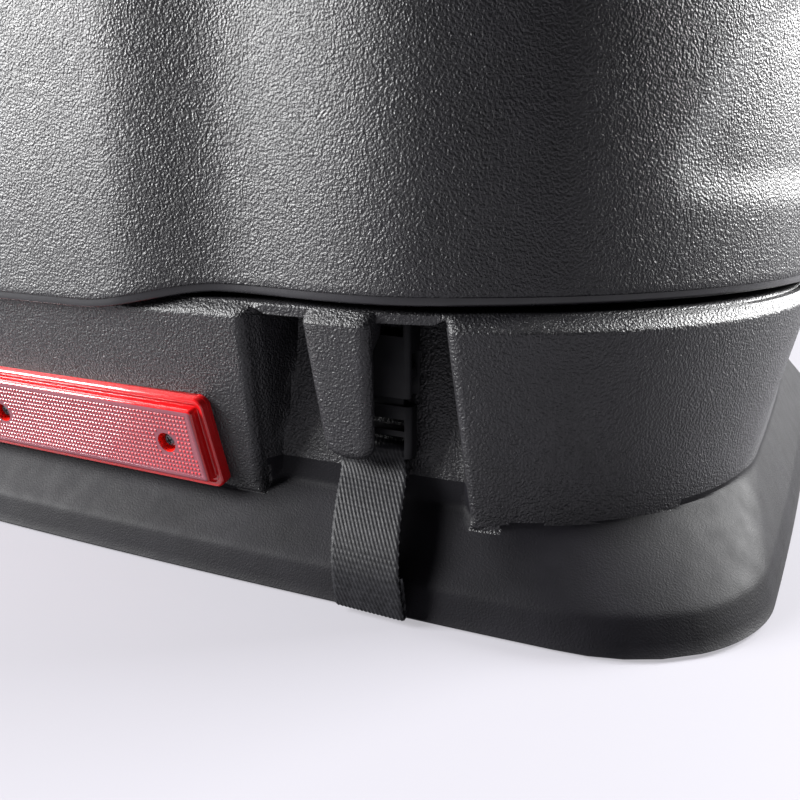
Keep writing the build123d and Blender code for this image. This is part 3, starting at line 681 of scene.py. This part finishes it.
def lid_rings():
    heights, insets, corners = lid_profile(104)
    rings = []
    # inside, from the crown down to the rib
    for z, inset, corner in list(zip(heights, insets, corners))[::-3]:
        if z - WALL > RIB_Z + RIB_THICKNESS + 2:
            rings.append(lid_point_ring(z - WALL, inset, corner, WALL, 1.0, 0.0))
    crown = rings[0]
    centre = crown.mean(0) + (0, 0, 0.6)
    rings = [centre + (crown - centre) * share for share in (0.1, 0.4, 0.7, 0.9)] + rings
    rib_top = RIB_Z + RIB_THICKNESS
    rib_levels = ((rib_top, 0.0), (rib_top - 0.4, 0.6), (RIB_Z + 0.4, 0.6), (RIB_Z, 0.0))
    rings.append(lid_point_ring(RIB_Z + RIB_THICKNESS, 0, LIP_CORNER, WALL, 1.0, 0.0))
    for z, tuck in rib_levels:
        rings.append(lid_columns.ring(z, RIB_INSET - 0.6 + tuck, NECK_CORNER, REAR_STEP))
    rings.append(lid_point_ring(RIB_Z, 0, LIP_CORNER, WALL, 1.0, 0.15))
    rings.append(lid_point_ring(112, 0, LIP_CORNER, WALL, 1.0, 0.6))
    inner_count = len(rings)
    # lip: a smooth bead below the grain
    for rise, inward in (
        (1.2, 3.7), (0.2, 3.3), (0, 2.6), (0, 1.6), (0.25, 1.0), (0.7, 0.72), (1.6, 0.62), (2.4, 0.6),
        (LIP_BAND - 0.15, 0.58), (LIP_BAND + 0.1, 0.2), (LIP_BAND + 0.5, 0.05),
    ):
        rings.append(lid_point_ring(LIP_Z + rise, inward, LIP_CORNER))
    lip_count = len(rings)
    for z, inset, corner in zip(heights, insets, corners):
        if z > LIP_Z + LIP_BAND + 1.6:
            fade = 1 - smoothstep(z, 108, 135)
            rings.append(lid_point_ring(z, inset, corner, 0.0, 1.0, fade))
    crown = rings[-1]
    centre = crown.mean(0) + (0, 0, 0.9)
    for share in (0.9, 0.75, 0.55, 0.3, 0.1):
        ring = centre + (crown - centre) * share
        ring[:, 2] = crown[0, 2] + 0.9 * (1 - share**2)
        rings.append(ring)
    return rings, inner_count, lip_count


lid_grid, lid_inner, lid_lip = lid_rings()


def lid_finish(row, col):
    if row < lid_inner:
        return INNER
    return LIP if row < lid_lip - 3 else GRAIN


lid_skin = shell_object("lid_moulding", lid_grid, (grained, fine_grain, smooth_lip, inner_black), lid_finish)
tidy_solid(lid_skin)
seats = [
    box_solid(
        "seat",
        (side * HINGE_X - HINGE_SEAT_HALF, 205.2, 105.5),
        (side * HINGE_X + HINGE_SEAT_HALF, 215.2, 143.5),
    )
    for side in (-1, 1)
]
boolean(lid_skin, seats, "UNION")
finish_mesh(lid_skin, 40)
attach(lid_skin, "lid")
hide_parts("lid_shell")


# ---- small hard parts: the CAD shape with its edges eased
def eased(node, body, finish, width):
    """Copy of a CAD node with rounded edges and a procedural finish."""
    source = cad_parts[node]
    copy = link(bpy.data.objects.new(f"{node}_eased", source.data.copy()))
    bm = bmesh.new()
    bm.from_mesh(copy.data)
    bmesh.ops.remove_doubles(bm, verts=bm.verts, dist=1e-6)
    bmesh.ops.dissolve_limit(bm, angle_limit=math.radians(1.0), verts=bm.verts, edges=bm.edges)
    bmesh.ops.recalc_face_normals(bm, faces=bm.faces)
    edges = [e for e in bm.edges if len(e.link_faces) == 2 and e.calc_face_angle(0) > math.radians(40)]
    bmesh.ops.bevel(
        bm, geom=edges, offset=width * MM, offset_type="OFFSET", segments=2, profile=0.5,
        affect="EDGES", clamp_overlap=True,
    )
    bm.to_mesh(copy.data)
    bm.free()
    copy.data.materials.clear()
    copy.data.materials.append(finish)
    for polygon in copy.data.polygons:
        polygon.material_index = 0
    finish_mesh(copy, 32)
    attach(copy, body)
    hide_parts(node)
    return copy


for side in ("left", "right"):
    eased(f"buckle_female_{side}", "lid", buckle_black, 0.5)
    eased(f"buckle_male_{side}", "tub", buckle_black, 0.4)
    for end in "ab":
        eased(f"buckle_arm_{side}_{end}", f"buckle_arm_{side}_{end}", buckle_black, 0.3)
    eased(f"hinge_tub_leaf_{side}", "tub", powder_black, 0.35)
    eased(f"hinge_lid_leaf_{side}", "lid", powder_black, 0.35)
    eased(f"hinge_pin_{side}", "tub", powder_black, 0.4)
for node, body, slot, finish in (
    ("hinge_tub_rivets", "tub", "rivet_metal", powder_black),
    ("hinge_lid_rivets", "lid", "rivet_metal", powder_black),
    ("lid_strap_rivets", "lid", "rivet_metal", rivet_grey),
    ("tub_strap_rivets", "tub", "rivet_metal", rivet_grey),
    ("rack_plate_rivets", "tub", "rivet_metal", rivet_grey),
    ("drain_plugs", "tub", "seal_rubber", seal_black),
):
    eased(node, body, finish, 0.6)


# ---- reflector: it leans with the pad, and u, v, w run along, up and out of its face
LENS_Z = 46
LENS_HEIGHT = 36
LENS_HALF_FOOT, LENS_TAPER = 105, 2.5
LENS_CORNER = 4
PAD_FOOT, PAD_HEAD = PAD_LINES[1], PAD_LINES[2]
PAD_LEAN = math.atan((PAD_FOOT[1] - PAD_HEAD[1]) / (PAD_HEAD[0] - PAD_FOOT[0]))
LENS_ORIGIN = np.array([0, rear_y(PAD_HEAD[1] + (PAD_HEAD[0] - LENS_Z) * math.tan(PAD_LEAN)), LENS_Z])
LENS_OUT = np.array([0, -math.cos(PAD_LEAN), -math.sin(PAD_LEAN)])
LENS_UP = np.array([0, -math.sin(PAD_LEAN), math.cos(PAD_LEAN)])
LENS_SINK = 2
SCREW_US = (-85, 0, 85)
WELL_RADIUS, WELL_MOUTH_RADIUS, WELL_FLOOR = 3.7, 4.1, 4.5
RING_STEPS = 40


def on_lens(u, v, w):
    """Point of the reflector in case coordinates."""
    return LENS_ORIGIN + np.array([u, 0, 0]) + v * LENS_UP + (w - LENS_SINK) * LENS_OUT


def lens_half(v, inset):
    """Half length of the reflector at one height on its face."""
    t = (v + LENS_HEIGHT / 2) / LENS_HEIGHT
    return LENS_HALF_FOOT - LENS_TAPER * t - inset


def lens_outline(inset, steps=7):
    """Corner-rounded outline of the reflector, drawn in by inset."""
    high = LENS_HEIGHT / 2 - inset
    low = -high
    radius = max(LENS_CORNER - inset * 0.7, 1.0)
    points = []
    for sx, v, start in ((1, low, 270), (1, high, 0), (-1, high, 90), (-1, low, 180)):
        cu = sx * (lens_half(v, inset) - radius)
        cv = v + radius if v < 0 else v - radius
        for k in range(steps + 1):
            a = math.radians(start + 90 * k / steps)
            points.append((cu + radius * math.cos(a), cv + radius * math.sin(a)))
    return points


def lens_solid():
    """Flange ridge, groove and raised window, with a well cut for each of the three screws."""
    profile = (
        (0.0, 0.2, 0), (0.0, 4.0, 0), (0.15, 4.5, 0), (0.6, 4.85, 0), (1.4, 4.9, 0), (1.9, 4.7, 0),
        (2.2, 4.2, 0), (2.5, 3.9, 0), (3.0, 3.9, 0), (3.3, 4.3, 0), (3.5, 6.9, 0), (3.7, 7.5, 0),
        (4.1, 7.85, 0), (4.7, 8.0, 1), (5.6, 8.0, 1), (5.8, 7.85, 1), (6.0, 7.8, 1),
    )
    verts, faces, kinds = [], [], []
    count = 0
    for inset, w, _ in profile:
        ring = lens_outline(inset)
        count = len(ring)
        verts += [on_lens(u, v, w) for u, v in ring]
    for row in range(len(profile) - 1):
        for k in range(count):
            after = (k + 1) % count
            below, above = row * count, (row + 1) * count
            faces.append((below + k, below + after, above + after, above + k))
            kinds.append(profile[row + 1][2])
    faces.append(tuple(range(count - 1, -1, -1)))
    faces.append(tuple(range((len(profile) - 1) * count, len(profile) * count)))
    kinds += [0, 1]
    body = mesh_object("reflector_window", verts, faces, (lens_rim, lens_field, lens_well))
    body.data.polygons.foreach_set("material_index", kinds)
    tidy_solid(body)
    cutters = []
    for u in SCREW_US:
        turns = [2 * math.pi * k / RING_STEPS for k in range(RING_STEPS)]
        verts_here = [
            on_lens(u + radius * math.cos(a), radius * math.sin(a), w)
            for radius, w in ((WELL_RADIUS, WELL_FLOOR), (WELL_MOUTH_RADIUS, 10))
            for a in turns
        ]
        following = [(k + 1) % RING_STEPS for k in range(RING_STEPS)]
        sides = [(k, n, n + RING_STEPS, k + RING_STEPS) for k, n in enumerate(following)]
        caps = [tuple(reversed(range(RING_STEPS))), tuple(range(RING_STEPS, 2 * RING_STEPS))]
        cutters.append(tidy_solid(mesh_object("well", verts_here, sides + caps)))
    boolean(body, cutters, "DIFFERENCE")
    for polygon in body.data.polygons:
        centre = np.array(polygon.center) / MM - LENS_ORIGIN
        u, v, w = centre[0], centre @ LENS_UP, centre @ LENS_OUT + LENS_SINK
        if w < 7.7 and min(math.hypot(u - s, v) for s in SCREW_US) < WELL_MOUTH_RADIUS - 0.05:
            polygon.material_index = 2
    return body


def prism_grid():
    """Low four-sided prisms in straight rows over the window, clear of the rim and the wells."""
    pitch_u, pitch_v = 1.62, 1.75
    base, tip = 0.66, 0.26
    verts, faces = [], []
    rows = int(23 / pitch_v)
    for j in range(rows + 1):
        v = (j - rows / 2) * pitch_v
        reach = lens_half(v, 6.9)
        columns = int(reach / pitch_u)
        for i in range(-columns, columns + 1):
            u = i * pitch_u
            if min(math.hypot(u - s, v) for s in SCREW_US) < 5.0:
                continue
            first = len(verts)
            for half, w in ((base, 7.72), (tip, 8.0)):
                for du, dv in ((-half, -half), (half, -half), (half, half), (-half, half)):
                    verts.append(on_lens(u + du, v + dv, w))
            faces.append(tuple(first + k for k in (3, 2, 1, 0)))
            faces.append(tuple(first + k for k in (4, 5, 6, 7)))
            for k in range(4):
                after = (k + 1) % 4
                faces.append((first + k, first + after, first + 4 + after, first + 4 + k))
    return mesh_object("reflector_prisms", verts, faces, (prism_red,))


def screw_heads():
    """Three pan heads with a cross recess."""
    profile = ((0, 4.5), (2.75, 4.5), (2.8, 5.1), (2.6, 5.6), (2.1, 6.0), (1.3, 6.25), (0.5, 6.33))
    steps = 36
    heads = []
    for u in SCREW_US:
        verts = [on_lens(u, 0, 4.5)]
        for r, w in profile[1:]:
            verts += [
                on_lens(u + r * math.cos(a), r * math.sin(a), w)
                for a in (2 * math.pi * k / steps for k in range(steps))
            ]
        faces = [(0, 1 + (k + 1) % steps, 1 + k) for k in range(steps)]
        for row in range(len(profile) - 2):
            for k in range(steps):
                a, b = 1 + row * steps + k, 1 + row * steps + (k + 1) % steps
                faces.append((a, b, b + steps, a + steps))
        faces.append(tuple(1 + (len(profile) - 2) * steps + k for k in range(steps)))
        head = tidy_solid(mesh_object("head", verts, faces, (screw_grey,)))
        slots = []
        for turn in (25, 115):
            a = math.radians(turn)
            along = np.array([math.cos(a), math.sin(a)])
            over = np.array([-math.sin(a), math.cos(a)])
            corners = []
            for w, half_long, half_wide in ((5.2, 0.7, 0.2), (6.6, 1.75, 0.42)):
                for p, q in ((-1, -1), (1, -1), (1, 1), (-1, 1)):
                    at = along * p * half_long + over * q * half_wide
                    corners.append(on_lens(u + at[0], at[1], w))
            sides = [(k, (k + 1) % 4, (k + 1) % 4 + 4, k + 4) for k in range(4)]
            slots.append(tidy_solid(mesh_object("slot", corners, sides + [(3, 2, 1, 0), (4, 5, 6, 7)])))
        heads.append(boolean(head, slots, "DIFFERENCE"))
    return join_all(heads, "reflector_screw_heads")


def join_all(parts, name):
    """One object from several."""
    bm = bmesh.new()
    for part in parts:
        bm.from_mesh(part.data)
    first = parts[0]
    mesh = bpy.data.meshes.new(name)
    for item in first.data.materials:
        mesh.materials.append(item)
    bm.to_mesh(mesh)
    bm.free()
    for part in parts:
        bpy.data.objects.remove(part)
    return link(bpy.data.objects.new(name, mesh))


window = finish_mesh(lens_solid(), 30)
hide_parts("reflector_lens")
prisms = prism_grid()
screws = finish_mesh(screw_heads(), 30)
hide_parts("reflector_screws")
for piece, slot in ((window, "red_lens"), (prisms, "red_lens"), (screws, "screw_steel")):
    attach(piece, "tub")


# ---- webbing, woven: rows of long and short slanted floats on both faces
STRAP_WIDTH, STRAP_CORE = 25.0, 0.42
STRAP_STEP = 0.42
WRAP_RADIUS = 2.35
MARKS_ACROSS, ROW_PAIR = 17, 3.9
FLOAT_HEIGHT = 0.26


def weave_height(u, v):
    """Height of the yarn floats over the ground of the webbing."""
    pitch = STRAP_WIDTH / MARKS_ACROSS
    height = np.zeros_like(u)
    for centre, half_long, shift in ((1.15, 1.15, 0.0), (3.1, 0.8, 0.5)):
        along = (v - centre + ROW_PAIR / 2) % ROW_PAIR - ROW_PAIR / 2
        over = (u + STRAP_WIDTH / 2 - 0.42 * along) / pitch - shift
        over = (over - np.floor(over) - 0.5) * pitch
        dome = np.clip(1 - (over / 0.6) ** 2, 0, 1) * np.sqrt(np.clip(1 - (along / half_long) ** 2, 0, 1))
        height = np.maximum(height, dome)
    return height * FLOAT_HEIGHT


def resample(path, spacing):
    """Even points along a polyline given closely enough to count as a curve."""
    path = np.asarray(path, float)
    run = np.concatenate([[0], np.cumsum(np.linalg.norm(np.diff(path, axis=0), axis=1))])
    at = np.linspace(0, run[-1], int(run[-1] / spacing) + 1)
    return np.stack([np.interp(at, run, path[:, k]) for k in range(path.shape[1])], 1), run[-1]


def rounded_path(points, rounds=4):
    """Corner-cutting curve through the middle of a polyline's runs."""
    path = np.asarray(points, float)
    for _ in range(rounds):
        low = path[:-1] * 0.75 + path[1:] * 0.25
        high = path[:-1] * 0.25 + path[1:] * 0.75
        mixed = np.stack([low, high], 1).reshape(-1, path.shape[1])
        path = np.concatenate([path[:1], mixed, path[-1:]])
    return path


def webbing(name, path, closed=False):
    """Woven band along a path of (x, y, z) centre points, the band's width running along x."""
    points, length = resample(path, STRAP_STEP)
    if closed:
        points = points[:-1]
        tangent = np.roll(points, -1, 0) - np.roll(points, 1, 0)
    else:
        tangent = np.gradient(points, axis=0)
    facing = np.stack([np.zeros(len(points)), -tangent[:, 2], tangent[:, 1]], 1)
    facing /= np.linalg.norm(facing, axis=1)[:, None]
    v = np.arange(len(points)) * STRAP_STEP
    across = np.linspace(-STRAP_WIDTH / 2, STRAP_WIDTH / 2, 86)
    grid_u, grid_v = np.meshgrid(across, v)
    rim = 1 - 0.45 * smoothstep(np.abs(grid_u), 11.6, 12.5)
    scallop = 0.12 * np.sin(grid_v * 2 * math.pi / (ROW_PAIR / 2)) * smoothstep(np.abs(grid_u), 11.9, 12.5)
    x = points[:, :1] + grid_u + scallop * np.sign(grid_u)
    verts = []
    for sign in (1, -1):
        lift = sign * (STRAP_CORE * rim + weave_height(grid_u, grid_v + (0 if sign > 0 else 1.0)) * rim)
        side = points[:, None, :] + facing[:, None, :] * lift[:, :, None]
        side[:, :, 0] = x
        verts.append(side.reshape(-1, 3))
    rows, columns = grid_u.shape
    faces = []
    other = rows * columns
    for row in range(rows if closed else rows - 1):
        after = (row + 1) % rows
        for col in range(columns - 1):
            a, d = row * columns + col, after * columns + col
            b, c = a + 1, d + 1
            faces += [(a, b, c, d), (d + other, c + other, b + other, a + other)]
        for col, flip in ((0, False), (columns - 1, True)):
            a, d = row * columns + col, after * columns + col
            quad = (a, d, d + other, a + other)
            faces.append(quad[::-1] if flip else quad)
    if not closed:
        for row in (0, rows - 1):
            for col in range(columns - 1):
                a, b = row * columns + col, row * columns + col + 1
                faces.append((a, a + other, b + other, b) if row == 0 else (a, b, b + other, a + other))
    band = mesh_object(name, np.concatenate(verts), faces, (webbing_black,))
    finish_mesh(band, 80)
    return band, length * MM


def tail_path(side):
    """From the anchor on the channel wall over the male half's bar and down to a doubled hem."""
    male_y = rear_y(24, CHANNEL_X)
    anchor_y = rear_y(24.6, CHANNEL_X)
    bar_z, wrap = 49.6, WRAP_RADIUS
    hem_z, fold = 2.6, 1.0
    x = side * BUCKLE_X
    arc = [
        (x, male_y + wrap * math.cos(a), bar_z + wrap * math.sin(a)) for a in np.linspace(0, math.pi, 9)
    ]
    swing = 11.5 * side
    front = rear_y(-2.9, CHANNEL_X)
    drop = [
        (x, male_y - wrap, bar_z - 3), (x + swing * 0.15, rear_y(20, CHANNEL_X), 41.5),
        (x + swing * 0.35, rear_y(11.5, CHANNEL_X), 34), (x + swing * 0.6, rear_y(3.2, CHANNEL_X), 25),
        (x + swing * 0.8, rear_y(-1.6, CHANNEL_X), 16), (x + swing * 0.93, front, 9),
        (x + swing, front, hem_z + 1.2),
    ]
    fold_up = [
        (x + swing, front + 0.15, hem_z + 0.1), (x + swing, front + fold, hem_z - 0.3),
        (x + swing, front + 2 * fold - 0.15, hem_z + 0.1), (x + swing, front + 2 * fold, hem_z + 1.4),
        (x + swing * 0.97, front + 2 * fold - 0.2, 9), (x + swing * 0.9, front + 2 * fold - 0.1, 16),
    ]
    run = [(x, anchor_y, 39), (x, anchor_y, 43), (x, anchor_y, 47)] + arc + drop + fold_up
    return rounded_path(run, 3)


def loop_path(side):
    """Closed loop from the rib down round the female half's top bar."""
    bar_y, bar_z, wrap = rear_y(23.5, CHANNEL_X), 94.5, WRAP_RADIUS
    top_y = rear_y(21.5, CHANNEL_X)
    x = side * BUCKLE_X
    under = [
        (x, bar_y + wrap * math.cos(a), bar_z + wrap * math.sin(a)) for a in np.linspace(0, -math.pi, 11)
    ]
    top = [(x, top_y - 5.2, 118.2), (x, top_y - 4.6, 119.0), (x, top_y + 4.6, 119.0), (x, top_y + 5.2, 118.2)]
    loop = under + top
    return np.array(loop + loop[:1])


for side, name in ((-1, "left"), (1, "right")):
    tail, length = webbing(f"tail_webbing_{name}", tail_path(side))
    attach(tail, "tub")
    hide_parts(f"tub_strap_{name}")
    loop, length = webbing(f"loop_webbing_{name}", loop_path(side), closed=True)
    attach(loop, "lid")
    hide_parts(f"lid_strap_{name}")


def dress(node, finish):
    """Gives a CAD node that stays as it is its procedural finish."""
    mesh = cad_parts[node].data
    for index in range(len(mesh.materials)):
        mesh.materials[index] = finish
    if not mesh.materials:
        mesh.materials.append(finish)


dress("rim_seal", seal_black)
dress("floor_mat", mat_black)
dress("rack_plate_left", zinc_grey)
dress("rack_plate_right", zinc_grey)
dress("reflector_backing", lens_rim)

# ---- floor, backdrop and light
stage_paint = make_material(
    "stage_paint", (0.112, 0.109, 0.124), (0.118, 0.115, 0.130), (0.7, 0.8), 2, (),
    Emission_Color=(0.96, 0.94, 1.0, 1), Emission_Strength=0.45,
)
FLOOR_HALF = 30000
corners = [(x * FLOOR_HALF, y * FLOOR_HALF, 0) for x, y in ((-1, -1), (1, -1), (1, 1), (-1, 1))]
floor = mesh_object("floor", corners, [(0, 1, 2, 3)], (stage_paint,))
floor.location.z = -0.0002

world = bpy.data.worlds.new("studio")
world.use_nodes = True
world.node_tree.nodes["Background"].inputs["Color"].default_value = (0.90, 0.89, 0.95, 1)
shown = world.node_tree.nodes.new("ShaderNodeLightPath")
level = world.node_tree.nodes.new("ShaderNodeMapRange")
level.inputs["To Min"].default_value = 0.08
level.inputs["To Max"].default_value = 0.62
world.node_tree.links.new(shown.outputs["Is Camera Ray"], level.inputs["Value"])
world.node_tree.links.new(level.outputs["Result"], world.node_tree.nodes["Background"].inputs["Strength"])
bpy.context.scene.world = world


def soft_light(name, position, target, size, power, colour=(1, 1, 1)):
    """Rectangular softbox aimed at a point."""
    data = bpy.data.lights.new(name, "AREA")
    data.shape = "RECTANGLE"
    data.size, data.size_y = size
    data.energy = power
    data.color = colour
    lamp = link(bpy.data.objects.new(name, data))
    lamp.location = position
    lamp.rotation_mode = "QUATERNION"
    lamp.rotation_quaternion = (Vector(target) - Vector(position)).to_track_quat("-Z", "Y")
    return lamp


def around(azimuth, height, reach):
    """Place seen from the case: azimuth 0 is behind it, 90 to its right."""
    a, e = math.radians(azimuth), math.radians(height)
    return (reach * math.sin(a) * math.cos(e), -reach * math.cos(a) * math.cos(e), 0.12 + reach * math.sin(e))


middle = (0.05, -0.1, 0.12)
soft_light("left_box", around(-52, 24, 2.0), middle, (0.9, 1.1), 170)
soft_light("right_box", around(130, 26, 2.0), middle, (0.8, 1.1), 150)
soft_light("top_box", around(180, 80, 1.9), middle, (1.2, 0.8), 12)

# ---- camera: behind the case and to its right, a little above the lid's lip
YAW, PITCH = 26.3, 16.05
camera_data = bpy.data.cameras.new("camera")
camera_data.sensor_width = 36
camera_data.lens = 38.8
camera = link(bpy.data.objects.new("camera", camera_data))
camera.location = (0.2925, -0.4343, 0.1462)
camera.rotation_euler = (math.radians(90 - PITCH), 0, math.radians(YAW))
camera_data.clip_start = 0.01
bpy.context.scene.camera = camera
bpy.context.scene.view_settings.view_transform = "Standard"
